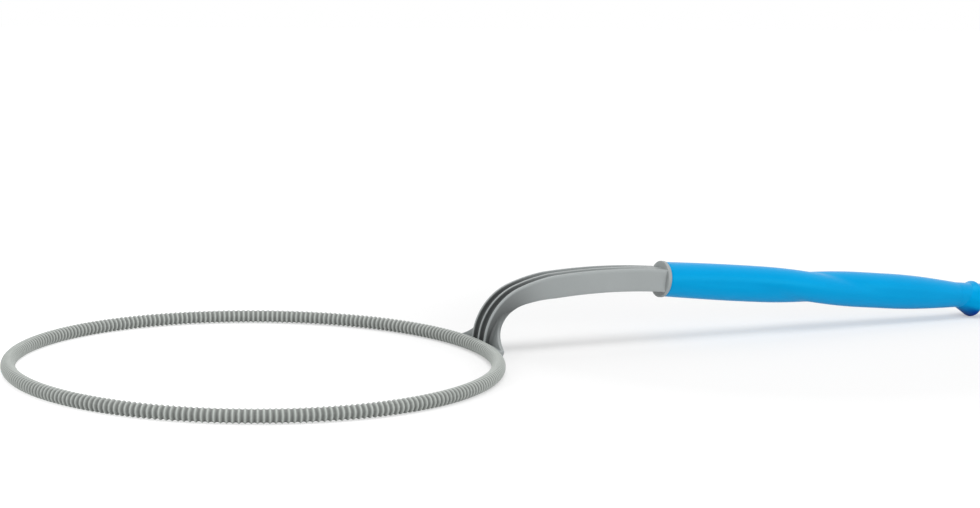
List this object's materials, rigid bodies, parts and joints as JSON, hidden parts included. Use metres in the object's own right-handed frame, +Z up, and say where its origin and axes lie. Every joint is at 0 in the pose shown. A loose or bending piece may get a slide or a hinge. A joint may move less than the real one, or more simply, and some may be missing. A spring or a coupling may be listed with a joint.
{
  "type": "bubble wand",
  "caption": "Long giant-bubble wand: a flat ribbed wetting hoop on an arched, fluted arm that plugs into a hollow grip with a half-turn waist and a hook-rimmed pommel.",
  "frame": {"origin": "on the ground plane under the middle of the wand's bounding box, the wand lying on its hoop and its pommel", "axes": "+X along the wand from the hoop to the pommel, +Z up out of the hoop's plane, +Y to the left of the wand"},
  "size_m": [0.648, 0.276, 0.0478],
  "materials": {
    "hoop_plastic": "satin moulded grey plastic, ribbed",
    "arm_plastic": "satin moulded grey plastic",
    "grip_plastic": "semi-gloss moulded blue plastic",
    "screw_steel": "bright zinc-plated steel"
  },
  "bodies": {
    "root": {"hoop": "hoop_plastic", "arm": "arm_plastic", "grip_shell_near": "grip_plastic", "grip_shell_far": "grip_plastic", "pommel_cap": "grip_plastic", "grip_screws": "screw_steel"}
  },
  "joints": []
}
